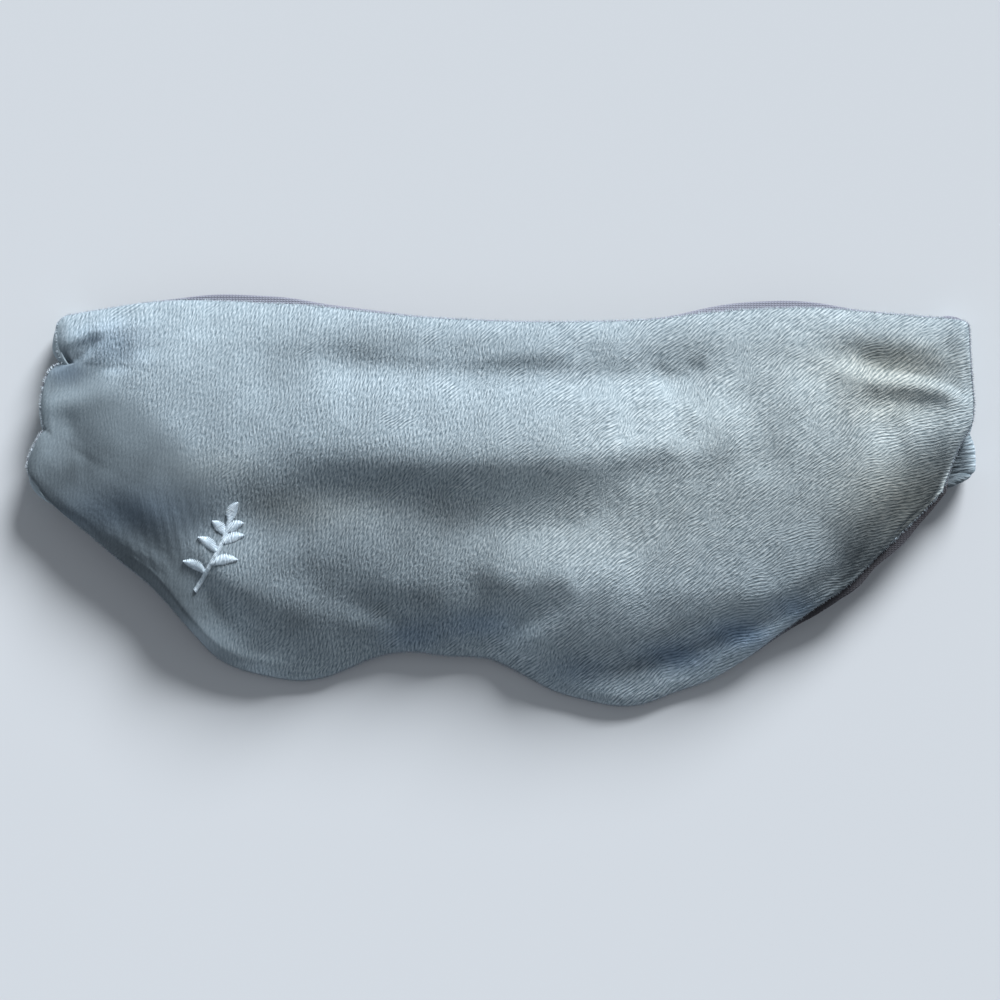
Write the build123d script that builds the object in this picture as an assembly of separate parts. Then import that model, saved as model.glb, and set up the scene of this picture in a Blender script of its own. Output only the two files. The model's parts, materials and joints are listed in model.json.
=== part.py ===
"""Padded sleep mask with two gathered, elastic head bands, lying on its folded bands.

The mask lies face up. +X runs along its length, +Y towards the brow, +Z out of its front.
The origin is at the centre of the footprint, on the surface that the mask lies on.
"""
from build123d import *
import os
from math import pi, sin

# --- Driving dimensions, in millimetres ---------------------------------------------------

# Outline of the pad as it lies: slack and a little skewed, so the two halves differ.
BROW = [(-110.6, 46.1), (-87.9, 49.9), (-60.0, 50.7), (-21.9, 46.4), (20.0, 45.0),
        (62.0, 49.3), (92.1, 47.6), (117.6, 43.6)]
CHEEK = [(-118.6, 8.9), (-109.9, -3.1), (-88.1, -21.1), (-77.4, -33.1), (-66.6, -42.1), (-52.0, -45.5),
         (-36.0, -41.2), (-18.0, -39.0), (2.1, -42.4), (16.0, -48.9), (31.0, -52.0), (47.0, -47.4),
         (70.4, -33.1), (94.4, -15.1), (110.1, 0.9), (118.9, 8.5)]
SECTIONS = 36               # stations along the pad
# Points across each station, as shares of its width: closer together near the seams, where the
# pillow curves most. The inner plies start past the first of them.
PANEL_SHARES = [0.09, 0.25, 0.42, 0.58, 0.75, 0.91]
INNER_SHARES = PANEL_SHARES[1:-1]
CROWN_FULLNESS = 0.7        # 1 for a parabola across the pad, less for a fuller pillow
FRONT_CLOTH = 1.3           # plush with its pile
BACK_CLOTH = 1.1            # knitted lining
SEAM_GAP = 0.1              # thread's width between the two cloths along the edge seam
PLY_GAP = 0.55              # air between the filling's plies
FILLING_INSET = 6.5         # the blackout layer and the wadding stop this far inside the edge seam
BLACKOUT_THICK = 0.4        # woven light-blocking interlining
PUFF_MIDDLE = 7.2           # how far the filling lifts the front above its seam
PUFF_ENDS = 1.7             # the same at the two short ends, where the bands are sewn in
PUFF_RUN = 0.16             # share of the length over which the filling comes up to full height
BACK_BULGE = 0.6            # how far the back swells below its seam
SEAM_HEIGHT = 9.5           # edge seam where the pad lies on the bands
DROOP = 7.5                 # how far the cheek lobes sink below that, to the table
DROOP_START = -20.0         # Y where the pad leaves the bands and starts to sink
DROOP_RUN = 27.0
LINING_SHOW = 1.3           # the lining stands this proud of the brow seam in two places
LINING_BULGES = [(-62.0, 26.0), (66.0, 24.0)]     # centre and half length of each

# Bands: plush casing gathered over woven elastic, ending in a flat tab.
BAND_THICK = 7.0
CASING_LENGTH = 88.0        # relaxed
CASING_WIDTH = 38.0
GATHERS = 11
GATHER_DEPTH = 1.7          # crest to valley, both faces together
GATHER_DEPTH_RANGE = 0.5    # one gather is this much deeper or shallower than that
GATHER_FULLNESS = 0.7       # less than 1 rounds the crests and sharpens the valleys
GATHER_WANDER = 0.16        # share of a gather's length by which its valley is off its even place
GATHER_NARROWING = 1.6      # a valley is this much narrower than a crest
DEPTH_BEAT, WANDER_BEAT = 1.7, 2.3      # radians a gather, so that no two are alike
FACETS_PER_GATHER = 3
TAPER_START = 0.74          # share of the casing after which it thins down to the tab
# Quarter of the casing's outline, from the middle of a face to its side, as shares of its half
# width and half thickness.
CASING_OUTLINE = [(0.0, 1.0), (0.88, 0.93), (1.0, 0.4)]
ELASTIC_WIDTH = 32.0
ELASTIC_THICK = 1.5
CHANNEL_GAP = 0.15
RIBBON_STEPS = 12
TAB_LENGTH = 26.0
TAB_THICK = 1.7
TAB_CORNER = 9.0
PATCH_THICK = 0.7           # hook tape or loop tape, sewn on the tab
PATCH_LENGTH = 19.0
PATCH_WIDTH = 32.0
PATCH_CORNER = 2.0
TAB_GAP = 0.3               # the tab starts this far past the casing
FOLD_GAP = 0.3              # both the pad and the band stop this far short of the fold line
FOLD_HEIGHT = 7.25          # the fold line lies between the band and the back of the pad


# --- Pad -----------------------------------------------------------------------------------

def smooth(value):
    """Ease from 0 to 1."""
    value = min(max(value, 0.0), 1.0)
    return value * value * (3 - 2 * value)


def point_at_x(curve, x, halvings=40):
    """Point of a left-to-right curve at a given X."""
    low, high = 0.0, 1.0
    for _ in range(halvings):
        middle = (low + high) / 2
        if (curve @ middle).X < x:
            low = middle
        else:
            high = middle
    return curve @ low


def seam_height(y):
    """Height of the edge seam: level over the bands, sinking towards the cheek lobes."""
    return SEAM_HEIGHT - DROOP * smooth((DROOP_START - y) / DROOP_RUN)


def lining_show(x):
    """How far the lining stands out past the brow seam."""
    return LINING_SHOW * sum(smooth(1 - abs(x - middle) / half) for middle, half in LINING_BULGES)


brow_curve = Spline(*[(x, y, 0) for x, y in BROW])
cheek_curve = Spline(*[(x, y, 0) for x, y in CHEEK])


class Station:
    """One cross-section of the pad, from its brow edge to its cheek edge."""

    def __init__(self, share):
        self.brow = point_at_x(brow_curve, BROW[0][0] + share * (BROW[-1][0] - BROW[0][0]))
        self.cheek = point_at_x(cheek_curve, CHEEK[0][0] + share * (CHEEK[-1][0] - CHEEK[0][0]))
        self.width = (self.cheek - self.brow).length
        self.across = (self.cheek - self.brow).normalized()
        rise = smooth(min(share, 1 - share) / PUFF_RUN)
        self.puff = PUFF_ENDS + (PUFF_MIDDLE - PUFF_ENDS) * rise

    def line(self, height, inset=0.0, brow_out=0.0):
        """Points across the station at height(crown, seam), where crown is 0 at the seams and 1 between."""
        inner = [self.width * share for share in (INNER_SHARES if inset else PANEL_SHARES)]
        points = []
        for along in [inset - brow_out] + inner + [self.width - inset]:
            place = self.brow + self.across * along
            share = min(max(along / self.width, 0.0), 1.0)
            crown = (4 * share * (1 - share)) ** CROWN_FULLNESS
            points.append((place.X, place.Y, height(crown, seam_height(place.Y))))
        return points

    def profile(self, top, bottom, inset=0.0, brow_out=0.0):
        """Closed section between two height functions."""
        upper = self.line(top, inset, brow_out)
        lower = self.line(bottom, inset, brow_out)[::-1]
        return Wire.make_polygon(upper + lower, close=True)


stations = [Station(step / (SECTIONS - 1)) for step in range(SECTIONS)]


def front_outside(station):
    return lambda crown, seam: seam + FRONT_CLOTH + station.puff * crown


def front_inside(station):
    return lambda crown, seam: seam + SEAM_GAP / 2 + station.puff * crown


def back_inside(station):
    return lambda crown, seam: seam - SEAM_GAP / 2 - BACK_BULGE * crown


def back_outside(station):
    return lambda crown, seam: seam - BACK_CLOTH - BACK_BULGE * crown


def make_front_panel():
    """Plush face of the pad."""
    return Solid.make_loft([s.profile(front_outside(s), front_inside(s)) for s in stations], ruled=True)


def make_back_panel():
    """Dark knitted lining, which lies on the wearer's face and peeps out past the brow seam."""
    return Solid.make_loft([s.profile(back_inside(s), back_outside(s), brow_out=lining_show(s.brow.X))
                            for s in stations], ruled=True)


def make_blackout_layer():
    """Thin light-blocking cloth between the filling and the lining."""
    def top(station):
        return lambda crown, seam: back_inside(station)(crown, seam) + PLY_GAP + BLACKOUT_THICK

    def bottom(station):
        return lambda crown, seam: back_inside(station)(crown, seam) + PLY_GAP

    return Solid.make_loft([s.profile(top(s), bottom(s), FILLING_INSET) for s in stations[1:-1]], ruled=True)


def make_wadding_pad():
    """Polyester wadding that fills the pad."""
    def top(station):
        return lambda crown, seam: front_inside(station)(crown, seam) - PLY_GAP / 2

    def bottom(station):
        return lambda crown, seam: back_inside(station)(crown, seam) + 1.5 * PLY_GAP + BLACKOUT_THICK

    return Solid.make_loft([s.profile(top(s), bottom(s), FILLING_INSET) for s in stations[1:-1]], ruled=True)


# --- Bands ---------------------------------------------------------------------------------

class Band:
    """One head band, folded flat behind the pad.

    Lengths run from the fold line along the band. The two tabs lie at different heights, so
    that they pass each other when a folded band is pulled out.
    """

    def __init__(self, end_station, side, tab_low):
        across = (end_station.brow - end_station.cheek).normalized()
        self.heading = Vector(across.Y * side, -across.X * side, 0)
        self.across = across
        middle = (end_station.brow + end_station.cheek) * 0.5
        self.root = middle - self.heading * FOLD_GAP
        self.tab_low = tab_low
        self.tab_bottom = 0.0 if tab_low else BAND_THICK - TAB_THICK - PATCH_THICK

    def plane(self, along, height=0.0):
        """Plane square to the band, its local Y up."""
        place = self.root + self.heading * along + Vector(0, 0, height)
        return Plane(origin=place, x_dir=self.across, z_dir=self.heading)

    def flat(self, height):
        """Plane that lies flat at the fold line, its local X along the band."""
        return Plane(origin=self.root + Vector(0, 0, height), x_dir=self.heading, z_dir=(0, 0, 1))

    def taper(self, along):
        """0 along the gathered length, 1 at the tab."""
        return smooth((along / CASING_LENGTH - TAPER_START) / (1 - TAPER_START))

    def middle_height(self, along):
        tab_middle = self.tab_bottom + (TAB_THICK + PATCH_THICK) / 2
        return BAND_THICK / 2 + (tab_middle - BAND_THICK / 2) * self.taper(along)

    def ribbon(self, width, thickness, start, stop):
        """Strip that follows the band's middle height."""
        places = [start + (stop - start) * step / RIBBON_STEPS for step in range(RIBBON_STEPS + 1)]
        upper = [self.plane(a, self.middle_height(a) + thickness / 2).origin for a in places]
        lower = [self.plane(a, self.middle_height(a) - thickness / 2).origin for a in places][::-1]
        side = Wire([Spline(*upper), Line(upper[-1], lower[0]), Spline(*lower), Line(lower[-1], upper[0])])
        shift = self.across * (-width / 2)
        return Solid.extrude(Face(side).moved(Location(shift)), self.across * width)

    def casing_section(self, share):
        """Outline of the casing at a share of its length: puffed between sharp creases."""
        fold = share * GATHERS
        wander = GATHER_WANDER * sin(WANDER_BEAT * fold + self.root.X) * smooth(4 * min(share, 1 - share))
        start = 2 * FOLD_GAP
        along = start + (CASING_LENGTH - start) * (fold + wander) / GATHERS
        slack = 1 - abs(sin(pi * fold)) ** GATHER_FULLNESS
        taper = self.taper(along)
        depth = (GATHER_DEPTH + GATHER_DEPTH_RANGE * sin(DEPTH_BEAT * fold)) * (1 - taper) * slack
        half_thick = (BAND_THICK + (TAB_THICK + PATCH_THICK - BAND_THICK) * taper - depth) / 2
        half_width = (CASING_WIDTH - GATHER_NARROWING * slack) / 2
        right = [(half_width * x, half_thick * y) for x, y in CASING_OUTLINE]
        right += [(x, -y) for x, y in right[::-1]]
        points = right + [(-x, y) for x, y in right[-2:0:-1]]
        outline = Wire.make_polygon([(x, y, 0) for x, y in points], close=True)
        return self.plane(along, self.middle_height(along)) * outline

    def make_casing(self):
        """Plush tube, cut a third longer than the elastic, so it gathers into rounded folds."""
        steps = GATHERS * FACETS_PER_GATHER
        tube = Solid.make_loft([self.casing_section(step / steps) for step in range(steps + 1)], ruled=True)
        return tube - self.ribbon(ELASTIC_WIDTH + 2 * CHANNEL_GAP, ELASTIC_THICK + 2 * CHANNEL_GAP,
                                  -1.0, CASING_LENGTH + 1.0)

    def make_elastic(self):
        """Woven elastic inside the casing."""
        return self.ribbon(ELASTIC_WIDTH, ELASTIC_THICK, 2 * FOLD_GAP, CASING_LENGTH)

    def make_tab(self):
        """Flat end of the band, two plies of plush sewn round the elastic's end."""
        start = CASING_LENGTH + TAB_GAP
        bottom = self.tab_bottom if self.tab_low else self.tab_bottom + PATCH_THICK
        plan = Pos(start + TAB_LENGTH / 2, 0) * Rectangle(TAB_LENGTH, CASING_WIDTH)
        plan = fillet(plan.vertices().sort_by(Axis.X)[2:], TAB_CORNER)
        return extrude(self.flat(bottom) * plan, TAB_THICK)

    def make_patch(self):
        """Hook or loop tape, on the upper face of a low tab or the lower face of a high one."""
        middle = CASING_LENGTH + TAB_GAP + TAB_LENGTH / 2
        bottom = self.tab_bottom + TAB_THICK if self.tab_low else self.tab_bottom
        plan = Pos(middle, 0) * RectangleRounded(PATCH_LENGTH, PATCH_WIDTH, PATCH_CORNER)
        return extrude(self.flat(bottom) * plan, PATCH_THICK)


left_band = Band(stations[0], 1, tab_low=True)
right_band = Band(stations[-1], -1, tab_low=False)

parts = {
    "front_panel": make_front_panel(),
    "wadding_pad": make_wadding_pad(),
    "blackout_layer": make_blackout_layer(),
    "back_panel": make_back_panel(),
    "left_band_casing": left_band.make_casing(),
    "left_band_elastic": left_band.make_elastic(),
    "left_tab": left_band.make_tab(),
    "left_hook_patch": left_band.make_patch(),
    "right_band_casing": right_band.make_casing(),
    "right_band_elastic": right_band.make_elastic(),
    "right_tab": right_band.make_tab(),
    "right_loop_patch": right_band.make_patch(),
}

boxes = [solid.bounding_box() for solid in parts.values()]
low = Vector(*(min(getattr(box.min, axis) for box in boxes) for axis in "XYZ"))
high = Vector(*(max(getattr(box.max, axis) for box in boxes) for axis in "XYZ"))
to_origin = Vector(-(low.X + high.X) / 2, -(low.Y + high.Y) / 2, -low.Z)

os.makedirs("parts", exist_ok=True)
for name, solid in parts.items():
    export_step(solid.moved(Location(to_origin)), f"parts/{name}.step")

print("size", high - low)
for side, band in (("left", left_band), ("right", right_band)):
    fold_point = band.root + Vector(0, 0, FOLD_HEIGHT) + to_origin
    print(side, "fold line through", fold_point, "along", band.across, "band heading", band.heading)
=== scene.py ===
import json
import math
import random

import bmesh
import bpy
import numpy as np
from mathutils import Matrix, Vector, noise
from mathutils.bvhtree import BVHTree


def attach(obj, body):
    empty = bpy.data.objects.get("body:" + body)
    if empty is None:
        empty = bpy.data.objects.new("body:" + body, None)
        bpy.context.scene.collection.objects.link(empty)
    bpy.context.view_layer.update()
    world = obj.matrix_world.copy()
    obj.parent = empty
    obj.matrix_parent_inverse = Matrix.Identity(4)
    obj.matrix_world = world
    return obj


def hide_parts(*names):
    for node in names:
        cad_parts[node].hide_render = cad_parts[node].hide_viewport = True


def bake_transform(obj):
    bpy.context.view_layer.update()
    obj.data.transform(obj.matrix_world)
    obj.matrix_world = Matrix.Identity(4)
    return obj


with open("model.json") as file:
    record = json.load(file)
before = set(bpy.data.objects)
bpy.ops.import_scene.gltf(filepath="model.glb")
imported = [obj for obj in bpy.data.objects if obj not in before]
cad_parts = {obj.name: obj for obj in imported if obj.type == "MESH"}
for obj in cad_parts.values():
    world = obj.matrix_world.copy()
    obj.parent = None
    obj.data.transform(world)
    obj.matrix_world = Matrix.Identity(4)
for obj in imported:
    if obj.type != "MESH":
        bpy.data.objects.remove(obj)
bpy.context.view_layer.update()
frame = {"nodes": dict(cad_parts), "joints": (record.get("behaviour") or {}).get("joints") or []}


# --- Camera --------------------
# The mask lies face up on a table and is seen from straight above, with the brow at the top.

VIEW_WIDTH = 0.25  # metres across the picture at the height of the pad
VIEW_HEIGHT = 0.012
CAMERA_DISTANCE = 1.1
SENSOR_WIDTH = 36
NEAREST = 0.05


def new_object(name, data):
    """Object in the scene that holds some data."""
    holder = bpy.data.objects.new(name, data)
    bpy.context.scene.collection.objects.link(holder)
    return holder


camera_data = bpy.data.cameras.new("camera")
camera_data.sensor_width = SENSOR_WIDTH
camera_data.lens = SENSOR_WIDTH * CAMERA_DISTANCE / VIEW_WIDTH
camera_data.clip_start = NEAREST
camera = new_object("camera", camera_data)
camera.location = (0, 0, VIEW_HEIGHT + CAMERA_DISTANCE)
bpy.context.scene.camera = camera


# --- Lamps and table --------------------
# Soft daylight from a wide window, low behind the brow, rakes across the pile. A weak lamp lifts
# the cheek side, and the table is matt and pale.

TABLE_SIZE = 3.0


def srgb(code):
    """Linear colour of an sRGB hex value."""
    parts = [int(code[i:i + 2], 16) / 255 for i in (1, 3, 5)]
    return tuple(c / 12.92 if c <= 0.04045 else ((c + 0.055) / 1.055) ** 2.4 for c in parts) + (1.0,)


def add_node(tree, kind, inputs=None, **settings):
    """New shader node. An input is a value, a socket, or a node that gives its factor or first output."""
    node = tree.nodes.new("ShaderNode" + kind)
    for name, value in settings.items():
        setattr(node, name, value)
    for key, source in (inputs or {}).items():
        if isinstance(source, bpy.types.Node):
            source = source.outputs.get("Fac") or source.outputs[0]
        if isinstance(source, bpy.types.NodeSocket):
            tree.links.new(source, node.inputs[key])
        else:
            node.inputs[key].default_value = source
    return node


def new_material(name):
    """Empty material and its node tree."""
    material = bpy.data.materials.new(name)
    material.use_nodes = True
    material.node_tree.nodes.clear()
    return material, material.node_tree


def new_piece(name, work):
    """Object in the scene made of a bmesh, which it uses up."""
    mesh = bpy.data.meshes.new(name)
    work.to_mesh(mesh)
    work.free()
    return new_object(name, mesh)


def add_lamp(name, kind, place, spread, power, colour):
    """Soft lamp that faces the mask: spread is a sun's angle or an area lamp's side."""
    lamp = bpy.data.lights.new(name, kind)
    setattr(lamp, "angle" if kind == "SUN" else "size", spread)
    lamp.energy = power
    lamp.color = srgb(colour)[:3]
    holder = new_object(name, lamp)
    holder.location = place
    holder.rotation_euler = (-Vector(place)).to_track_quat("-Z", "Y").to_euler()


add_lamp("window", "SUN", (0.40, 0.86, 0.48), math.radians(24), 5.9, "#f3f8ff")
add_lamp("sky_fill", "AREA", (-0.35, -0.85, 0.55), 0.8, 0.8, "#cfdfff")
world = bpy.data.worlds.new("room")
world.use_nodes = True
daylight = world.node_tree.nodes["Background"]
daylight.inputs["Color"].default_value = srgb("#e9f0f8")
daylight.inputs["Strength"].default_value = 0.28
bpy.context.scene.world = world
bpy.context.scene.view_settings.view_transform = "Standard"

work = bmesh.new()
bmesh.ops.create_grid(work, x_segments=1, y_segments=1, size=TABLE_SIZE)
table = new_piece("table", work)
table_paint, tree = new_material("matt_table_paint")
paint_node = add_node(tree, "BsdfDiffuse", {"Color": srgb("#d2d4d5")})
add_node(tree, "OutputMaterial", {"Surface": paint_node})
table.data.materials.append(table_paint)


# --- Front panel --------------------
# One piece of polyester velour, cut to the mask's outline and sewn to the lining face to face,
# then turned right side out, so its edge rolls over the seam. It lies slack on the filling, and
# its two ends are gathered where they turn under into the bands. Places are in millimetres.

BROW = [(-108.9, 46.4), (-101.4, 47.7), (-88.0, 49.7), (-76.0, 50.3), (-60.0, 49.7), (-50.0, 49.2),
        (-40.0, 48.2), (-22.0, 46.3), (2.0, 45.0), (20.0, 44.9), (38.0, 45.5), (52.0, 47.2), (66.0, 48.2),
        (80.0, 48.4), (92.0, 47.4), (104.0, 46.4), (112.0, 45.7), (116.4, 45.0)]
CHEEK = [(-117.4, 4.8), (-115.2, 2.2), (-109.9, -3.1), (-102.6, -9.1), (-95.6, -15.1), (-88.2, -21.1),
         (-82.6, -27.1), (-77.6, -33.1), (-72.3, -38.9), (-66.6, -42.3), (-58.0, -44.6), (-50.5, -45.6),
         (-44.0, -44.7), (-38.5, -42.7), (-33.0, -40.3), (-27.5, -38.8), (-21.5, -38.4), (-14.0, -39.3),
         (-4.0, -39.9), (1.5, -41.9), (8.0, -45.3), (14.0, -48.3), (21.0, -50.3), (29.0, -51.9),
         (36.0, -51.5), (44.5, -48.4), (53.5, -45.1), (62.9, -39.3), (70.8, -33.3), (79.6, -26.8),
         (87.9, -20.9), (93.9, -14.9), (100.2, -8.9), (106.4, -2.9), (111.0, 2.2)]
LEFT_END = [(-108.9, 46.4), (-110.7, 44.9), (-111.3, 41.5), (-111.1, 38.0), (-110.2, 35.6), (-109.2, 34.6),
            (-111.6, 33.9), (-113.6, 31.6), (-114.9, 27.6), (-115.3, 23.6), (-114.9, 19.6), (-114.4, 17.9),
            (-115.6, 16.4), (-117.2, 13.4), (-118.5, 10.2), (-118.6, 7.6), (-117.4, 4.8)]
RIGHT_END = [(116.4, 45.0), (117.7, 43.6), (118.0, 37.4), (118.5, 30.0), (118.9, 24.9), (118.6, 19.8),
             (116.9, 16.4), (114.6, 11.9), (112.6, 6.6), (111.0, 2.2)]
PAD_LENGTH = 242.0  # of the flat cut, with its rolled edges
SEAM_HEIGHT = 9.5  # the pad lies on its folded bands
CHEEK_DROOP = (7.4, -20.0, 27.0)  # how far the cheek lobes sink, where that starts, over what length
BROW_DROOP = (2.2, 39.0, 12.0)  # the same for the brow edge, which hangs over the bands
FRONT_CLOTH = 1.3
ROLL_RISE = 2.5  # the rolled edge stands this high over the seam
ROLL_RUN = 5.5
PUFF = 6.1  # how far the filling lifts the middle
PUFF_RUN = 36.0  # distance from the ends over which the filling comes up
FILLED = 2.3  # no fold can press the face nearer to the lining than this
END_FADE = 9  # power with which an end's gathered outline dies away inwards
CROWN_POWER = 0.7  # below 1, the filling is full almost up to the seams
END_WEIGHT = 1.4  # the edge rolls over more tightly at the ends
FOLD_INSET = 5  # folds die away this near the seam
UNEVEN = [(0.55, 26, 3.1), (0.22, 9, 8.4)]  # height, size and seed of slack cloth's soft lumps
SOFTNESS = 0.35  # how gently the face comes down on the filling
LINE_STEPS = 60  # steps along one fold
CURVE_STEPS = 24  # steps between two given points of a line

# Folds and soft ridges of the slack face: points, half width (left and right of the line where
# they differ), height.
FOLDS = [
    # the rolled rims of the two cheek lobes and the creases above them
    ([(-104, 3), (-94, -5), (-84, -14), (-75, -21.5), (-67, -28), (-60, -32.6), (-52, -36)], 5.0, -2.2),
    ([(-96, -12.5), (-88, -19), (-80, -27), (-74, -34), (-68, -38.6), (-58, -41), (-48, -41.6)], 2.6, 1.3),
    ([(92, -9), (86, -17), (78, -22.4), (68, -27.8), (56, -32.0), (44, -36.4), (31, -40.4), (18, -42.4)],
     3.8, -3.0),
    ([(118, 10), (111, 3), (104, -5), (97, -12), (90, -19), (80, -26)], 8.0, -3.2),
    # the two folds that run up from the nose notch, and the soft lumps beside them
    ([(-56, -17), (-46, -21), (-36, -25), (-26, -28.5), (-18, -34)], (7.0, 5.0), -1.9),
    ([(18, -19), (11, -25.5), (2, -31.5), (-6, -36), (-14, -39)], (4.0, 5.5), -2.4),
    ([(-40, -31), (-33, -31.6), (-25, -33)], 4.0, 0.8),
    ([(-2, -29), (6, -33), (14, -37)], 4.5, 0.9),
    # the long sag across the middle, and the bulge between it and the brow
    ([(-100, -12), (-78, -8), (-62, -4), (-46, 0), (-28, -1), (-10, -4), (8, -5), (24, -4), (46, -1)],
     (9.5, 8.0), -3.6),
    ([(-62, 10), (-45, 11), (-15, 10.5), (10, 11.5), (34, 14), (56, 17), (72, 18)], (12.0, 7.0), 3.6),
    ([(-66, 36.4), (-46, 34.6), (-26, 33), (0, 31.6), (16, 31.2), (34, 31.8), (56, 34.6)], (4.6, 5.6), -3.2),
    ([(-6, -17), (8, -18), (22, -18), (36, -16)], 7.0, 1.2),
    ([(36, 34), (44, 31), (52, 36)], 2.6, -1.3),
    ([(30, 3), (38, 9), (48, 16), (56, 19)], 4.0, -0.6),
    ([(44, 21), (52, 22), (62, 20)], 6.0, 0.6),
    ([(58, 30), (64, 18), (66, 4)], 6.0, -0.8),
    # the right end, where the cloth is pulled towards the band
    ([(78, 37), (86, 35), (94, 33.6), (102, 32.8), (110, 31.4), (117, 28.6), (126, 23), (134, 18)],
     (4.8, 2.4), -3.8),
    ([(86, 29), (97, 29), (107, 27.6), (118, 24.5)], 2.6, 0.9),
    ([(86, 23.8), (96, 24), (106, 23.8), (114, 24.4)], 3.2, -0.9),
    ([(98, 15), (108, 18), (116, 21)], 4.0, 0.9),
    # the left end: one crease where the second gather laps over the first, and soft hollows
    ([(-124, 30.6), (-115, 32.6), (-109.6, 34), (-107.5, 34.6), (-105.5, 35.4), (-103.9, 36.6),
      (-102.7, 37.8), (-101.4, 39.4), (-98.6, 41.4)], (2.6, 1.0), -2.6),
    ([(-112, 38), (-106, 40.6), (-100, 42.8), (-92, 43.8), (-80, 44.6)], 2.4, 0.9),
    ([(-124, 29.6), (-112, 29.8), (-104, 30.8), (-96, 33.6), (-88, 37)], 4.4, -1.3),
    ([(-122, 24.4), (-112, 24.6), (-104, 25.6), (-92, 28)], 3.6, 0.7),
    ([(-122, 18.2), (-114, 18.4), (-104, 19.6)], 3.0, -0.7),
    ([(-120, 10.0), (-112, 9.6), (-102, 9)], 5.0, 0.8),
]


def smooth(value):
    """Ease from 0 to 1."""
    value = np.clip(value, 0.0, 1.0)
    return value * value * (3 - 2 * value)


def distances(line):
    """How far along a line each of its points lies."""
    return np.r_[0, np.cumsum(np.linalg.norm(np.diff(line, axis=0), axis=1))]


def walk(line, want):
    """Places at distances along a line."""
    reach = distances(line)
    return np.stack([np.interp(want, reach, column) for column in line.T], -1)


def along_line(points, shares):
    """Places at shares of the length of a smooth line through given points."""
    p = np.array(points, float)
    p = np.vstack([2 * p[0] - p[1], p, 2 * p[-1] - p[-2]])
    t = np.linspace(0, 1, CURVE_STEPS, endpoint=False)[:, None]
    runs = [b + 0.5 * t * (c - a + t * (2 * a - 5 * b + 4 * c - d + t * (3 * b - a - 3 * c + d)))
            for a, b, c, d in zip(p, p[1:], p[2:], p[3:])]
    line = np.vstack(runs + [p[-2:-1]])
    return walk(line, np.asarray(shares) * distances(line)[-1])


def close_to_ends(count, crowding):
    """Even steps from 0 to 1, crowded towards both ends."""
    t = np.linspace(0, 1, count + 1)
    return (1 - crowding) * t + crowding * (1 - np.cos(np.pi * t)) / 2


def outline_plan(u, v):
    """Places in plan at u along the mask and v from cheek to brow."""
    brow_line, cheek_line = along_line(BROW, u), along_line(CHEEK, u)
    plan = cheek_line[:, None] * (1 - v)[None, :, None] + brow_line[:, None] * v[None, :, None]
    for end, fade in ((LEFT_END, (1 - u) ** END_FADE), (RIGHT_END, u ** END_FADE)):
        edge = along_line(end, 1 - v)
        corners = along_line(end, [0.0, 1.0])
        straight = corners[0] + (corners[1] - corners[0]) * (1 - v)[:, None]
        plan = plan + fade[:, None, None] * (edge - straight)[None]
    return plan


def seam_height(y):
    """Height of the edge seam, which hangs down wherever the bands don't hold it up."""
    cheek_drop, cheek_start, cheek_run = CHEEK_DROOP
    brow_drop, brow_start, brow_run = BROW_DROOP
    return (SEAM_HEIGHT - cheek_drop * smooth((cheek_start - y) / cheek_run)
            - brow_drop * smooth((y - brow_start) / brow_run))


def seam_distance(u, v, plan):
    """Distance from the nearest edge and from the nearest end, in millimetres."""
    width = np.linalg.norm(plan[:, -1] - plan[:, 0], axis=1)[:, None]
    ends = (np.minimum(u, 1 - u) * PAD_LENGTH)[:, None] * np.ones_like(v)[None]
    return np.minimum(np.minimum(v, 1 - v)[None] * width, ends * END_WEIGHT), ends


def crown(v, ends):
    """How fully the filling lifts the cloth, from 0 at the seams to 1."""
    return (4 * v * (1 - v))[None] ** CROWN_POWER * smooth(ends / PUFF_RUN)


def press_fold(plan, points, half_width, rise):
    """Change of height that one fold makes, fading at both its ends."""
    line = along_line(points, np.linspace(0, 1, LINE_STEPS))
    ways = np.gradient(line, axis=0)
    left_width, right_width = np.broadcast_to(half_width, 2)
    flat = plan.reshape(-1, 2)
    nearest, place, width = np.full(len(flat), np.inf), np.zeros(len(flat)), np.ones(len(flat))
    for step, (point, way) in enumerate(zip(line, ways)):
        dx, dy = flat[:, 0] - point[0], flat[:, 1] - point[1]
        gap = np.hypot(dx, dy)
        closer = gap < nearest
        place = np.where(closer, step / (len(line) - 1), place)
        width = np.where(closer, np.where(way[0] * dy > way[1] * dx, left_width, right_width), width)
        nearest = np.minimum(gap, nearest)
    ends = smooth(place * 4) * smooth((1 - place) * 4)
    return (rise * ends * np.exp(-(nearest / width) ** 2)).reshape(plan.shape[:2])


def ripple(x, y, seed):
    """Gentle unevenness of slack cloth, from -1 to 1, with swells about one unit of X and Y across."""
    x, y, seed = np.broadcast_arrays(x, y, seed)
    values = [noise.noise(Vector(place)) for place in zip(x.flat, y.flat, seed.flat)]
    return np.array(values).reshape(x.shape)


def slack_front(u, v):
    """Outer face of the velour as it was sewn, before the filling has settled."""
    plan = outline_plan(u, v)
    near, ends = seam_distance(u, v, plan)
    seam = seam_height(plan[..., 1])
    roll = np.sqrt(1 - (1 - np.clip(near / ROLL_RUN, 0, 1)) ** 2)
    height = seam + ROLL_RISE * roll + PUFF * crown(v, ends)
    inside = smooth(near / FOLD_INSET)
    for points, half_width, rise in FOLDS:
        height = height + inside * press_fold(plan, points, half_width, rise)
    height = height + inside * sum(rise * ripple(plan[..., 0] / size, plan[..., 1] / size, seed)
                                   for rise, size, seed in UNEVEN)
    above = height - seam - FILLED * inside
    height = height - above + SOFTNESS * np.logaddexp(0, above / SOFTNESS)
    return np.dstack([plan, height])


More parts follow.
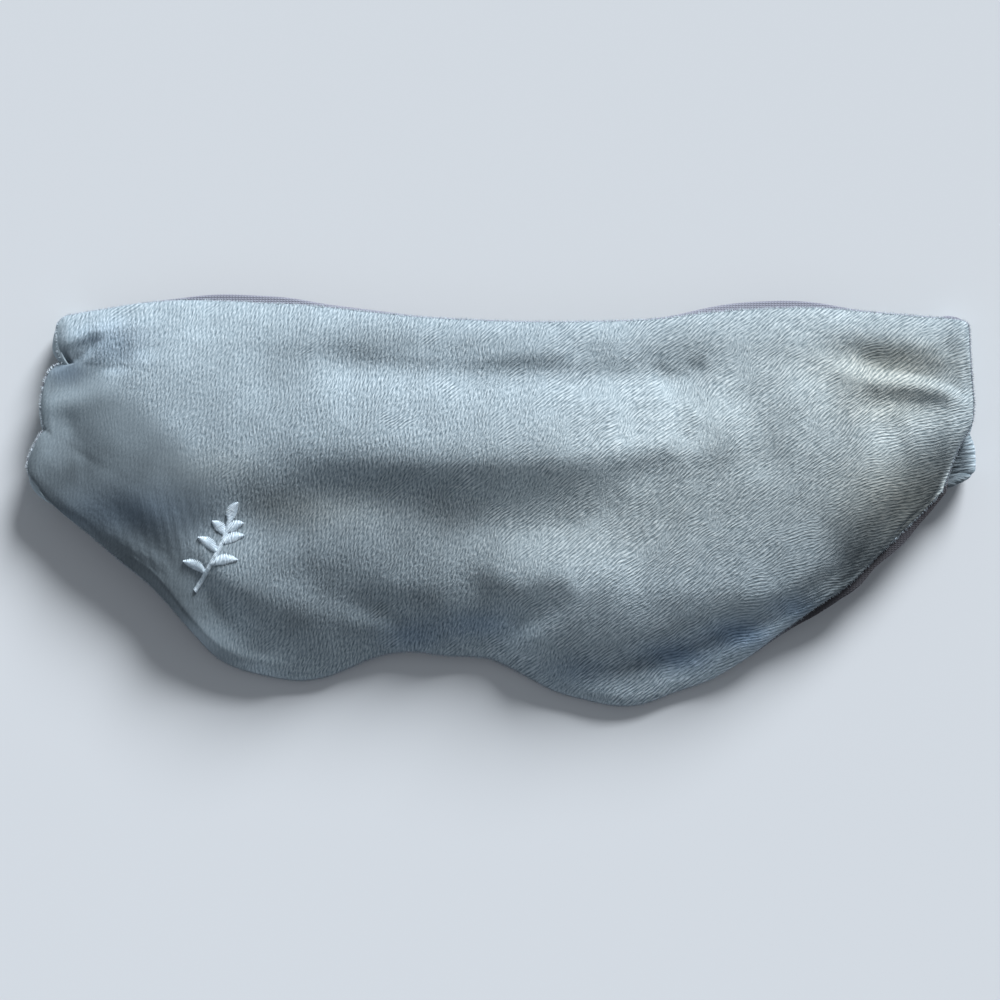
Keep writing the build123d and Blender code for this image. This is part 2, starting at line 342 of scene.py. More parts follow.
BAG_ROWS, BAG_COLUMNS = 104, 44  # coarse grid of the cloth that is simulated
BAG_FRAMES = 20
BAG_GAP = 0.6  # least distance between its two faces at the start
BAG_CLOTH = {"quality": 6, "mass": 0.3, "tension_stiffness": 15.0, "compression_stiffness": 15.0,
             "bending_stiffness": 0.6, "use_pressure": True, "uniform_pressure_force": 5.0,
             "shrink_min": -0.035,    # the cloth is this share longer than the shape it starts from
             "vertex_group_mass": "seam"}
SETTLED = 1.5  # no point may move further than this
SMOOTHINGS = 2


def grid_steps(x, y, rows, columns):
    """Row and column of each point of a grid of size 0.5 that bmesh has made."""
    return np.rint((x + 0.5) * rows).astype(int), np.rint((y + 0.5) * columns).astype(int)


def sew_rims(work, upper_rim):
    """Join the open rim of a bag's upper face to the rim of its lower face."""
    known = set(upper_rim)
    lower_rim = [edge for edge in work.edges if edge.is_boundary and edge not in known]
    bmesh.ops.bridge_loops(work, edges=upper_rim + lower_rim)
    bmesh.ops.recalc_face_normals(work, faces=work.faces)


def blow_up_bag():
    """How the slack velour moves when its filling pushes it out: rows, columns and a shift for each."""
    along, across = close_to_ends(BAG_ROWS, 0.35), close_to_ends(BAG_COLUMNS, 0.4)
    top = slack_front(along, across)
    floor = np.minimum(seam_height(top[..., 1]), top[..., 2]) - BAG_GAP
    bottom = np.dstack([top[..., :2], floor])
    work = bmesh.new()
    bmesh.ops.create_grid(work, x_segments=BAG_ROWS, y_segments=BAG_COLUMNS, size=0.5)
    grid = np.array([v.co[:] for v in work.verts])
    i, j = grid_steps(grid[:, 0], grid[:, 1], BAG_ROWS, BAG_COLUMNS)
    start = top[i, j]
    upper_rim = [edge for edge in work.edges if edge.is_boundary]
    count = len(work.verts)
    lower = bmesh.ops.duplicate(work, geom=work.faces[:] + work.edges[:] + work.verts[:])
    faces = [piece for piece in lower["geom"] if isinstance(piece, bmesh.types.BMFace)]
    bmesh.ops.reverse_faces(work, faces=faces)
    for vert, place in zip(work.verts, np.vstack([start, bottom[i, j]])):
        vert.co = place / 1000
    sew_rims(work, upper_rim)
    bag = new_piece("bag", work)
    seam = bag.vertex_groups.new(name="seam")
    held = [k for k in range(count) if i[k] in (0, BAG_ROWS) or j[k] in (0, BAG_COLUMNS)]
    seam.add(held + list(range(count, 2 * count)), 1.0, "REPLACE")
    sim = bag.modifiers.new("cloth", "CLOTH")
    for name, value in BAG_CLOTH.items():
        setattr(sim.settings, name, value)
    sim.settings.effector_weights.gravity = 0.0
    sim.point_cache.frame_start, sim.point_cache.frame_end = 1, BAG_FRAMES
    for step in range(1, BAG_FRAMES + 1):
        bpy.context.scene.frame_set(step)
    settled = bag.evaluated_get(bpy.context.evaluated_depsgraph_get())
    moved = np.array([v.co[:] for v in settled.data.vertices[:count]]) * 1000 - start
    bpy.context.scene.frame_set(1)
    bpy.data.objects.remove(bag)
    moved[:, 2] -= np.median(moved[:, 2])
    reach = np.linalg.norm(moved, axis=1)
    moved *= (SETTLED * np.tanh(reach / SETTLED) / np.maximum(reach, 1e-6))[:, None]
    shift = np.zeros(top.shape)
    shift[i, j] = moved
    for _ in range(SMOOTHINGS):
        shift[1:-1, 1:-1] = (shift[1:-1, 1:-1] * 2 + shift[:-2, 1:-1] + shift[2:, 1:-1]
                             + shift[1:-1, :-2] + shift[1:-1, 2:]) / 6
    return along, across, shift


swell = blow_up_bag()


def pad_front(u, v):
    """Outer face of the velour over its filling."""
    places = slack_front(u, v)
    if swell is not None:
        along, across, shift = swell
        for axis in range(3):
            rows = np.stack([np.interp(u, along, column) for column in shift[..., axis].T], 1)
            places[..., axis] += np.stack([np.interp(v, across, row) for row in rows])
    return places


def lay_cloth(name, places, flat_size=None):
    """Sheet of quads over an array of places in millimetres, with the flat cloth as its UV map.

    Without a flat size, the cloth lies as it does in plan.
    """
    rows, columns = places.shape[0] - 1, places.shape[1] - 1
    work = bmesh.new()
    work.loops.layers.uv.new("cloth")
    bmesh.ops.create_grid(work, x_segments=rows, y_segments=columns, size=0.5, calc_uvs=True)
    piece = new_piece(name, work)
    mesh = piece.data
    flat = np.empty(len(mesh.vertices) * 3)
    mesh.vertices.foreach_get("co", flat)
    i, j = grid_steps(flat[0::3], flat[1::3], rows, columns)
    mesh.vertices.foreach_set("co", (places[i, j] / 1000).ravel())
    if flat_size is None:
        cloth = places[i, j, :2] / 1000
    else:
        cloth = np.stack([i / rows * flat_size[0], j / columns * flat_size[1]], 1) / 1000
    corners = np.empty(len(mesh.loops), int)
    mesh.loops.foreach_get("vertex_index", corners)
    mesh.uv_layers["cloth"].data.foreach_set("uv", cloth[corners].ravel())
    mesh.shade_smooth()
    return piece, i, j


def thicken(piece, thickness, offset=-1):
    """Give a sheet its thickness in millimetres: under its face, or over it with an offset of 1."""
    cloth = piece.modifiers.new("cloth", "SOLIDIFY")
    cloth.thickness = thickness / 1000
    cloth.offset = offset


def paint(piece, name, values):
    """A number for each point of a piece, or one for all of them, which its material reads."""
    layer = piece.data.attributes.new(name, "FLOAT", "POINT")
    each = np.broadcast_to(values, len(piece.data.vertices))
    layer.data.foreach_set("value", np.ascontiguousarray(each, np.float32))


def spots(x, y, marks):
    """Sum of soft round marks: centre, half axes and strength of each."""
    total = np.zeros(np.shape(x))
    for mx, my, rx, ry, amount in marks:
        total = total + amount * np.exp(-((x - mx) / rx) ** 2 - ((y - my) / ry) ** 2)
    return total


def set_tones(ramp, *tones):
    """Place and hex value of a ramp's first and last colours."""
    for element, (place, tone) in zip(ramp.color_ramp.elements, tones):
        element.position = place
        element.color = srgb(tone)


# Polyester velour, warp knitted and brushed. The wales stand 1.05 mm apart, and the short pile
# leans over in slanting tufts about 1.5 mm long and half as far apart. Its tips are pale and the
# gaps between the tufts dark. Where it is pressed flat it looks smooth and darker.
def make_velour():
    material, tree = new_material("brushed_velour")
    cloth = add_node(tree, "UVMap", uv_map="cloth")
    mm = add_node(tree, "VectorMath", {0: cloth, 1: (1000, 1000, 1000)}, operation="MULTIPLY")
    drift = add_node(tree, "TexNoise", {"Vector": mm, "Scale": 0.09, "Detail": 1.0})
    moved = add_node(tree, "VectorMath", {0: drift.outputs["Color"], 1: (3.0, 3.0, 0), 2: mm},
                     operation="MULTIPLY_ADD")
    layers = []
    for turn, length, bend, rowed in ((70, 1.0, 0.3, 0.12), (38, 1.5, 0.15, 0.3), (14, 1.5, 0.15, 0.3)):
        slanted = add_node(tree, "Mapping", {"Vector": moved, "Rotation": (0, 0, math.radians(turn)),
                                             "Scale": (length, 0.3, 1)}, vector_type="TEXTURE")
        loose = add_node(tree, "TexNoise", {"Vector": slanted, "Scale": 1.0, "Detail": 1.5,
                                            "Roughness": 0.5, "Distortion": bend})
        rows = add_node(tree, "TexWave", {"Vector": slanted, "Scale": 0.126, "Distortion": 3.4,
                                          "Detail": 1.5, "Detail Scale": 7.0}, bands_direction="Y")
        layers.append(add_node(tree, "Mix", {"Factor": rowed, "A": loose, "B": rows}))
    lean = add_node(tree, "Attribute", attribute_name="lean")
    combed = add_node(tree, "Math", {0: drift, 1: 1.2, 2: lean}, operation="MULTIPLY_ADD")
    tuft = layers[0]
    for layer, start, full in ((layers[1], 0.76, 0.9), (layers[2], 1.26, 1.4)):
        share = add_node(tree, "MapRange", {"Value": combed, "From Min": start, "From Max": full})
        tuft = add_node(tree, "Mix", {"Factor": share, "A": tuft, "B": layer})
    wales = add_node(tree, "TexWave", {"Vector": moved, "Scale": 0.299, "Distortion": 0.9, "Detail": 1.0,
                                       "Detail Scale": 3.0}, bands_direction="X")
    upright = add_node(tree, "MapRange", {"Value": lean, "From Max": 0.4, "To Min": 0.13, "To Max": 0.0})
    pile = add_node(tree, "Mix", {"Factor": upright, "A": tuft, "B": wales})
    fibre = add_node(tree, "TexNoise", {"Vector": mm, "Scale": 5.0, "Detail": 1.0})
    fuzz = add_node(tree, "Mix", {"Factor": 0.12, "A": pile, "B": fibre})
    calm = add_node(tree, "Attribute", attribute_name="calm")
    still = add_node(tree, "Mix", {"Factor": calm, "A": fuzz, "B": 0.5}, clamp_factor=False)
    tips = add_node(tree, "ValToRGB", {"Fac": still})
    set_tones(tips, (0.34, "#6f7e86"), (0.68, "#c9d5da"))
    tips.color_ramp.elements.new(0.5).color = srgb("#9dabb2")
    # The attribute holds the brushed pile's lighter and darker patches and also painted shade and highlights
    # on folds, rims and the cheek edge; the mottle is added to it below.
    nap_and_shade = add_node(tree, "Attribute", attribute_name="nap_and_shade")
    mottle = add_node(tree, "TexNoise", {"Vector": mm, "Scale": 0.11, "Detail": 3.0, "Roughness": 0.55})
    brushed = add_node(tree, "Math", {0: mottle, 1: 0.7, 2: nap_and_shade}, operation="MULTIPLY_ADD")
    shade = add_node(tree, "MapRange", {"Value": brushed, "From Min": -0.95, "From Max": 1.35,
                                        "To Min": 0.26, "To Max": 1.31})
    colour = add_node(tree, "VectorMath", {0: tips, 1: shade}, operation="MULTIPLY")
    # Painted light: the attribute tints the colour towards warm room light above 0 and towards cool sky
    # shade below 0.
    painted_light_tint = add_node(tree, "Attribute", attribute_name="painted_light_tint")
    painted_cool_shade = add_node(tree, "MapRange", {"Value": painted_light_tint, "From Max": -1.0})
    for share, tone in ((painted_light_tint, "#fff0dc"), (painted_cool_shade, "#bccfe9")):
        mixed = add_node(tree, "Mix", {0: share, 6: colour, 7: srgb(tone)}, data_type="RGBA",
                         blend_type="MULTIPLY")
        colour = mixed.outputs[2]
    bump = add_node(tree, "Bump", {"Height": still, "Strength": 1.0, "Distance": 0.0005})
    surface = add_node(tree, "BsdfPrincipled", {
        "Base Color": colour, "Normal": bump, "Roughness": 0.92, "Specular IOR Level": 0.12,
        "Sheen Weight": 0.45, "Sheen Roughness": 0.4, "Sheen Tint": srgb("#d6e6f2")})
    add_node(tree, "OutputMaterial", {"Surface": surface})
    return material


FRONT_GRID = 300, 116  # cells along the mask and across it
velour = make_velour()
front_u, front_v = close_to_ends(FRONT_GRID[0], 0.35), close_to_ends(FRONT_GRID[1], 0.6)
front_places = pad_front(front_u, front_v)
front, i, j = lay_cloth("front_panel_velour", front_places)
x, y = front_places[i, j, 0], front_places[i, j, 1]

# Where hands have brushed the pile, and where shade and highlights are painted on folds and
# rims: centre, half axes and how much lighter, or, for the painted warm light and cool shade,
# warmer and cooler. To the left of BRUSHED, a line of (Y, X), the pile is pressed flat, and along
# the cheek shade is painted darker. The strokes are painted shade and highlights along a line,
# on creases and rims.
NAP_AND_SHADE = [(40, 22, 36, 12, 0.3), (66, 18, 40, 20, 0.12), (-50, 22, 26, 14, 0.12), (-20, -8, 36, 6, -0.1),
       (-46, -22, 50, 22, -0.3), (34, -14, 30, 12, 0.2), (112, 22, 8, 7, 0.3), (52, 23, 8, 6, 0.15),
       (-84, 38, 20, 6, 0.12), (90, 10, 18, 18, 0.08), (-72, -34, 11, 5, 1.1), (30, -40, 26, 7, -0.15),
       (118.5, 32, 3, 16, 0.4), (-101, 41, 9, 5, 0.35), (-38, -22, 26, 8, -0.15), (-57, 0, 12, 6.5, -0.75),
       (-30, -10, 34, 8, -0.22), (-16, -14, 40, 7, -0.2), (16, 1, 24, 8, 0.22), (31, 10, 14, 7, 1.0),
       (23, -24, 18, 9, 0.6), (3, -35, 9, 5, 0.75), (-48, 39, 20, 6, -0.15), (-110, 24, 5, 3, 0.15),
       (-104, 12, 10, 8, -0.12), (102, 24, 12, 4, 0.5), (102, 17, 12, 6, 0.6), (5, 39.5, 34, 4, -0.25),
       (50, 39.5, 9, 4, -0.2), (-16, -5, 14, 6, -0.55), (-48, -6, 16, 6, -0.4), (48, -43, 14, 4, 0.75),
       (68, -22, 10, 6, -0.2), (-73, -20, 8, 6, 0.2), (4, 2.5, 9, 5, 0.4), (-29, 40, 9, 5, -0.35),
       (102, 40, 8, 4, -0.25), (-54, 32, 10, 5, -0.3), (78, 25, 8, 13, 0.4), (90, -5, 8, 5, -0.35),
       (-29, -20, 9, 5, 0.3), (-48, -28, 7, 5, -0.45), (-60, -43, 7, 4, 0.4), (-72, -5, 6, 4, -0.3),
       (-93.5, 35.3, 7, 2.6, 0.45), (-98, 40.5, 8, 3, 0.4), (-90, 38.6, 6, 1.6, -0.3)]
# Painted shade and highlights along creases and rims: points, half width, strength.
SHADE_AND_HIGHLIGHT_LINES = [([(-114, 33), (-109.6, 34.3), (-107.5, 35), (-105.5, 36), (-103.9, 37.2), (-102.6, 38.6),
             (-100.6, 40.4)], (2.6, 0.5), -0.75),
           ([(-110, 38), (-105, 41), (-100, 42.8), (-92, 43.6), (-82, 44.4)], 1.8, 0.25),
           ([(-116, 30.4), (-107, 30), (-101, 31.8), (-95, 34)], 3.2, -0.25),
           ([(118, 15), (115.5, 11), (113, 6.5), (111, 2.5), (108, -1)], 1.1, 3.2),
           ([(16, -45.5), (24, -48), (34, -48), (46, -43.6), (58, -37.8), (70, -31.8), (80, -25)], 2.2, 0.6),
           ([(26, -43.5), (40, -39.5), (52, -36), (64, -31.5), (76, -25.5)], 2.6, -0.3),
           ([(76, 40), (86, 38.4), (94, 36.6), (102, 35.2), (110, 33.4), (116, 30.4), (120, 28)],
            (3.4, 2.2), -0.6)]
# Painted warm light in the hollows at the right and middle, and painted cool shade in the deep cheek folds:
# centre, half axes, warmer above 0 or cooler below.
PAINTED_LIGHT_TINTS = [(98, 34, 18, 6, 0.5), (98, 24, 14, 6, 0.35), (80, 20, 60, 40, 0.35), (20, -5, 40, 20, 0.25),
          (-48, -2, 20, 5, 0.3), (-70, 8, 12, 5, 0.2), (100, 0, 16, 12, 0.5), (-6, -31, 10, 4, -0.5),
          (-22, -34, 8, 4, -0.5), (-92, -3, 22, 6, -0.45), (-109, 32, 5, 3, -0.4), (-98, 39, 10, 6, -0.3),
          (44, -39, 9, 4, -0.8), (60, -33.5, 9, 4, -0.9), (74, -27, 7, 3.5, -0.7), (20, -43, 10, 4, -0.4)]
BRUSHED = [(-40, -66), (-25, -74), (-12, -76), (2, -71), (12, -77), (20, -86), (28, -96), (36, -104),
           (46, -112)]
PRESSED_FADE = 12  # width of the pressed area's soft border
LEANING = [(58, 20, 20, 18, -0.22)]
line_y, line_x = np.array(BRUSHED).T
pressed = smooth((np.interp(y, line_y, line_x) - x) / PRESSED_FADE + 0.5)
from_cheek = np.linalg.norm(front_places[i, j, :2] - front_places[i, 0, :2], axis=1)
# Painted shade along the right cheek edge, and more weakly along the pressed left cheek, where the cloth
# turns away from the light.
under = (1.8 * np.exp(-(from_cheek / 18) ** 2) * smooth((x - 68) / 28)
         + 0.25 * np.exp(-(from_cheek / 12) ** 2) * pressed)
nap_and_shade = spots(x, y, NAP_AND_SHADE) - pressed * (0.36 + 0.38 * smooth((24 - y) / 16)) - under
# Paint the shade and highlights of the strokes along their lines.
for points, half_width, amount in SHADE_AND_HIGHLIGHT_LINES:
    nap_and_shade = nap_and_shade + press_fold(front_places[..., :2], points, half_width, amount)[i, j]
calm = (0.75 * pressed + 0.22 * (1 - pressed) * (1 - smooth((x + 75) / 60))
        + 0.17 * smooth((x + 30) / 60))
lean = 0.5 * smooth((x + 50) / 120) + 0.5 * smooth((x - 66 - 0.9 * y) / 44) + spots(x, y, LEANING)
paint(front, "nap_and_shade", nap_and_shade)
paint(front, "painted_light_tint", np.clip(spots(x, y, PAINTED_LIGHT_TINTS), -1, 1))
paint(front, "calm", calm)
paint(front, "lean", lean)
front.data.materials.append(velour)
thicken(front, FRONT_CLOTH)
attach(front, "mask")
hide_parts("front_panel")


# --- Filling and blackout layer --------------------
# A pillow of soft polyester wadding, with a thin opaque cloth between it and the lining. Both
# stop short of the seam. They can't be seen in a whole mask.

FILLING_SHARE = 0.075  # the filling stops this share of the width inside the seams
FILLING_CLEARANCE = 0.35
WADDING_LIFT = 0.8  # it lies this far above the blackout cloth's place
LEAST_WADDING = 0.4
BLACKOUT_CLOTH, BLACKOUT_LIFT = 0.3, 0.15
LINING_CLOTH = 1.1
LINING_DROP = 0.3  # the lining's seam lies this far below the velour's
BACK_SAG = 0.5  # the back bulges this far below its seam
BACK_UNEVEN = (0.12, 14, 5.5, 4)  # height, size and seed of its lumps, and where they fade at a seam
BROW_LIP, CHEEK_LIP = 0.14, 0.12  # share of the width over which the lining is drawn out
# Where the lining peeps out, along the brow and along the right cheek: centre, half length, width.
BROW_SHOW = [(-62, 17, 1.6), (66, 18, 1.7), (-34, 10, 0.4), (113.4, 2.4, 0.6)]
CHEEK_SHOW = [(93, 22, 1.5), (80, 5, 0.5), (88, 3, 0.45), (99, 4, 0.6)]


def peep_out(x, marks):
    """How far the lining stands out past the velour at places along an edge."""
    return sum(width * np.exp(-(np.abs(x - middle) / half) ** 3) for middle, half, width in marks)[:, None]


def pad_back(u, v, show):
    """Inner face of the lining, which stands out past the velour by a share of what it should show."""
    plan = outline_plan(u, v)
    lip = smooth((v - 1 + BROW_LIP) / BROW_LIP)[None] * show
    plan[..., 1] += peep_out(plan[:, -1, 0], BROW_SHOW) * lip
    lip = smooth((CHEEK_LIP - v) / CHEEK_LIP)[None] * show
    slant = 0.7 * peep_out(plan[:, 0, 0], CHEEK_SHOW) * lip
    plan[..., 0] += slant
    plan[..., 1] -= slant
    near, ends = seam_distance(u, v, plan)
    rise, size, seed, inset = BACK_UNEVEN
    lumps = rise * smooth(near / inset) * ripple(plan[..., 0] / size, plan[..., 1] / size, seed)
    height = seam_height(plan[..., 1]) - LINING_DROP - BACK_SAG * crown(v, ends) + lumps
    return np.dstack([plan, height])


def inner_face(front_part, clearance, u, v):
    """Face inside the pad at a share of the way up from the lining to the velour."""
    low = pad_back(u, v, 0.0)
    high = pad_front(u, v)
    high[..., 2] -= FRONT_CLOTH + clearance
    low[..., 2] += clearance
    return low + (high - low) * front_part


# Polyester fibre, needle punched or brushed: dull, and lumpy where its strands clump together. One
# strand is too fine to show, so the grain is the size of a clump: 1000 / grain millimetres.
def make_fibre(name, light, dark, grain):
    material, tree = new_material(name)
    place = add_node(tree, "TexCoord").outputs["Object"]
    clumps = add_node(tree, "TexNoise", {"Vector": place, "Scale": grain, "Detail": 4.0, "Roughness": 0.7})
    ramp = add_node(tree, "ValToRGB", {"Fac": clumps})
    set_tones(ramp, (0, dark), (1, light))
    bump = add_node(tree, "Bump", {"Height": clumps, "Strength": 0.6, "Distance": 0.0008})
    surface = add_node(tree, "BsdfPrincipled", {"Base Color": ramp, "Normal": bump, "Roughness": 0.95,
                                                "Specular IOR Level": 0.1})
    add_node(tree, "OutputMaterial", {"Surface": surface})
    return material


inner_u = FILLING_SHARE / 2.2 + (1 - FILLING_SHARE / 1.1) * close_to_ends(90, 0.4)
inner_v = FILLING_SHARE + (1 - 2 * FILLING_SHARE) * close_to_ends(36, 0.5)
top = inner_face(1.0, FILLING_CLEARANCE, inner_u, inner_v)
bottom = inner_face(0.0, FILLING_CLEARANCE + WADDING_LIFT, inner_u, inner_v)
bottom[..., 2] = np.minimum(bottom[..., 2], top[..., 2] - LEAST_WADDING)
filling, _, _ = lay_cloth("wadding_pillow", top)
underside, _, _ = lay_cloth("wadding_underside", bottom)
work = bmesh.new()
work.from_mesh(filling.data)
upper_rim = [edge for edge in work.edges if edge.is_boundary]
first_lower = len(work.faces)
work.from_mesh(underside.data)
work.faces.ensure_lookup_table()
bmesh.ops.reverse_faces(work, faces=work.faces[first_lower:])
sew_rims(work, upper_rim)
work.to_mesh(filling.data)
work.free()
bpy.data.objects.remove(underside)
filling.data.shade_smooth()
filling.data.materials.append(make_fibre("polyester_wadding", "#f1f0ec", "#c9c8c4", 260.0))
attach(filling, "mask")
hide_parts("wadding_pad")

blackout_places = inner_face(0.0, FILLING_CLEARANCE + BLACKOUT_LIFT, inner_u, inner_v)
blackout, _, _ = lay_cloth("blackout_cloth", blackout_places)
blackout.data.materials.append(make_fibre("black_interlining", "#26272a", "#101113", 900.0))
thicken(blackout, BLACKOUT_CLOTH)
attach(blackout, "mask")
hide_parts("blackout_layer")


# --- Lining --------------------
# Grey jersey, cut a little fuller than the velour, so that it rolls out past the brow seam
# in two places and shows as a narrow strip along the right cheek, where shade is painted on it.

LINING_GRID = 220, 70


def plan_of(piece):
    """X and Y of each point of a piece, in millimetres."""
    return np.array([v.co[:2] for v in piece.data.vertices]).T * 1000


# Jersey of dyed polyester: stocking stitch with 0.75 mm wales, matt and a little fuzzy. Shade
# is painted on it, near black, where it meets the right cheek.
def make_jersey():
    material, tree = new_material("mauve_grey_jersey")
    cloth = add_node(tree, "UVMap", uv_map="cloth")
    mm = add_node(tree, "VectorMath", {0: cloth, 1: (1000, 1000, 1000)}, operation="MULTIPLY")
    wales = add_node(tree, "TexWave", {"Vector": mm, "Scale": 0.42, "Distortion": 0.8, "Detail": 1.0,
                                       "Detail Scale": 2.0}, bands_direction="X")
    courses = add_node(tree, "TexWave", {"Vector": mm, "Scale": 0.6, "Distortion": 1.0, "Detail": 1.0,
                                         "Detail Scale": 2.0}, bands_direction="Y")
    loops = add_node(tree, "Math", {0: wales, 1: courses}, operation="MULTIPLY")
    fibre = add_node(tree, "TexNoise", {"Vector": mm, "Scale": 2.5, "Detail": 2.0})
    height = add_node(tree, "Mix", {"Factor": 0.3, "A": loops, "B": fibre})
    ramp = add_node(tree, "ValToRGB", {"Fac": height})
    set_tones(ramp, (0, "#82838e"), (1, "#a0a2ae"))
    # Painted shade: the jersey turns near black along the right cheek edge, which lies in shadow.
    painted_cheek_shade = add_node(tree, "Attribute", attribute_name="painted_cheek_shade")
    cheek_shaded = add_node(tree, "Mix", {0: painted_cheek_shade, 6: ramp, 7: srgb("#1f1b1a")}, data_type="RGBA")
    bump = add_node(tree, "Bump", {"Height": height, "Strength": 0.6, "Distance": 0.0003})
    surface = add_node(tree, "BsdfPrincipled", {
        "Base Color": cheek_shaded.outputs[2], "Normal": bump, "Roughness": 0.88, "Specular IOR Level": 0.2,
        "Sheen Weight": 0.3, "Sheen Roughness": 0.5})
    add_node(tree, "OutputMaterial", {"Surface": surface})
    return material


back_u, back_v = close_to_ends(LINING_GRID[0], 0.35), close_to_ends(LINING_GRID[1], 0.6)
lining, i, j = lay_cloth("back_panel_lining", pad_back(back_u, back_v, 1.0))
lining.data.materials.append(make_jersey())
x, y = plan_of(lining)
from_cheek = np.linalg.norm(np.stack([x, y], 1) - outline_plan(back_u, back_v)[i, 0], axis=1)
# Painted shade along the right cheek edge, fading within about 5 mm of it.
paint(lining, "painted_cheek_shade", 0.95 * np.exp(-(from_cheek / 5) ** 2) * smooth((x - 60) / 20))
thicken(lining, LINING_CLOTH)
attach(lining, "mask")
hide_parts("back_panel")


# --- Head bands --------------------
# Each band is a sleeve of the same velour, gathered over a flat woven elastic three quarters as
# long, so it lies in rounded, uneven folds. At rest both are folded flat under the pad.

CASING_START, CASING_END = 5.0, 88.0  # along the band from its fold line
MOUTH_RUN = 7.0  # the sleeve's mouth is sewn flat to the cloth that turns under the pad
MOUTH_HEIGHT, MOUTH_THICK = 2.2, 3.0
CASING_WIDTH = 38.0
BAND_THICK = 7.0
SLEEVE_CLOTH = 0.7
SLEEVE_GRID = 210, 64  # steps along and around
SLEEVE_SECTION = 0.42, 0.62  # powers of the cosine and sine that give its flattened section
SLEEVE_INSET = 0.12, 0.3  # half thickness and half width it gives up to its cloth
LEAST_HALF = 0.9
GATHERS = 14
GATHER_DEPTH = 1.15  # crest to valley on one face
GATHER_NARROWING = 0.9
CREST_POWER = 0.55  # below 1, crests are round and valleys sharp
WANDER = (0.85, 16, 1.9)  # how many gathers a fold strays, over what length, how often across
CRUMPLE = (0.45, 3.1, 1.3)  # the same for small hollows, with their depth in millimetres
SLEEVE_SEED = {"left": 11.0, "right": 47.0}
SLEEVE_NAP = [(-70, 10, 20, 20, -0.15), (60, 30, 30, 20, 0.1)]
TAPER_START = 0.74
ELASTIC_WIDTH, ELASTIC_THICK = 32.0, 1.5
ELASTIC_GRID = 61, 13  # points along and across
TAB_START, TAB_LENGTH, TAB_THICK, TAPE_THICK = 88.3, 26.0, 1.7, 0.7
TAB_BOTTOM = {"left": 0.0, "right": BAND_THICK - TAB_THICK - TAPE_THICK}
joints = {joint["name"]: joint for joint in frame["joints"]}


class Band:
    """Where one band lies at rest: lengths from its fold line, widths to its left, in millimetres."""

    def __init__(self, side):
        self.side = side
        self.heading = np.array(joints[side + "_band_stretch"]["axis"])
        self.across = np.cross((0, 0, 1), self.heading)
        self.root = np.array(joints[side + "_band_fold"]["pos_m"]) * 1000 * (1, 1, 0)

    def place(self, along, across, height):
        """Places in millimetres, from distances along and across the band and a height."""
        along, across, height = np.broadcast_arrays(along, across, height)
        return (self.root + along[..., None] * self.heading + across[..., None] * self.across
                + height[..., None] * np.array((0, 0, 1.0)))

    def metres(self, along, across, height):
        """One place, in metres."""
        return tuple(self.place(float(along), float(across), float(height)) / 1000)

    def middle_height(self, along):
        """Height of the band's middle, and its shares of taper to the tab and of flat mouth."""
        tab_middle = TAB_BOTTOM[self.side] + (TAB_THICK + TAPE_THICK) / 2
        taper = smooth((along / CASING_END - TAPER_START) / (1 - TAPER_START))
        mouth = 1 - smooth((along - CASING_START) / MOUTH_RUN)
        return (BAND_THICK / 2 + (tab_middle - BAND_THICK / 2) * taper
                + (MOUTH_HEIGHT - BAND_THICK / 2) * mouth), taper, mouth


bands = {side: Band(side) for side in ("left", "right")}


def wrap_sleeve(band):
    """Gathered sleeve, as an array of places along and around the band."""
    steps, turns = SLEEVE_GRID
    along = np.linspace(CASING_START, CASING_END, steps + 1)[:, None]
    angle = np.linspace(0, 2 * np.pi, turns + 1)[None, :]
    across, up = (np.sign(wave) * np.abs(wave) ** power
                  for wave, power in zip((np.cos(angle), np.sin(angle)), SLEEVE_SECTION))
    seed = SLEEVE_SEED[band.side] + 6.0 * (up > 0)
    stray, length, beat = WANDER
    wander = stray * ripple(along / length, across * beat, seed)
    depth, length, beat = CRUMPLE
    crumple = depth * ripple(along / length, across * beat, seed + 20)
    share = (along - CASING_START) / (CASING_END - CASING_START)
    fold = GATHERS * share + wander * smooth(8 * share) * smooth(8 * (1 - share))
    crest = np.abs(np.sin(np.pi * fold)) ** CREST_POWER
    middle, taper, mouth = band.middle_height(along)
    slack = (GATHER_DEPTH * (1 - crest) - crumple) * (1 - taper) * (1 - mouth)
    thick = (BAND_THICK + (TAB_THICK + TAPE_THICK - BAND_THICK) * taper
             + (MOUTH_THICK - BAND_THICK) * mouth) / 2 - SLEEVE_INSET[0]
    thick = np.maximum(thick - np.maximum(slack, 0), LEAST_HALF)
    width = CASING_WIDTH / 2 - GATHER_NARROWING * (1 - crest) * (1 - taper) - SLEEVE_INSET[1]
    return band.place(along, width * across, middle + thick * up)


# Polyester and rubber elastic, woven flat: white, ribbed across every 1.6 mm.
def make_elastic():
    material, tree = new_material("woven_elastic")
    cloth = add_node(tree, "UVMap", uv_map="cloth")
    mm = add_node(tree, "VectorMath", {0: cloth, 1: (1000, 1000, 1000)}, operation="MULTIPLY")
    ribs = add_node(tree, "TexWave", {"Vector": mm, "Scale": 0.196, "Distortion": 0.3}, bands_direction="X")
    warp = add_node(tree, "TexWave", {"Vector": mm, "Scale": 0.42, "Distortion": 0.3}, bands_direction="Y")
    weave = add_node(tree, "Mix", {"Factor": 0.4, "A": ribs, "B": warp})
    ramp = add_node(tree, "ValToRGB", {"Fac": weave})
    set_tones(ramp, (0, "#b5b7ba"), (1, "#eceded"))
    bump = add_node(tree, "Bump", {"Height": weave, "Strength": 0.7, "Distance": 0.0004})
    surface = add_node(tree, "BsdfPrincipled", {"Base Color": ramp, "Normal": bump, "Roughness": 0.6,
                                                "Specular IOR Level": 0.3})
    add_node(tree, "OutputMaterial", {"Surface": surface})
    return material


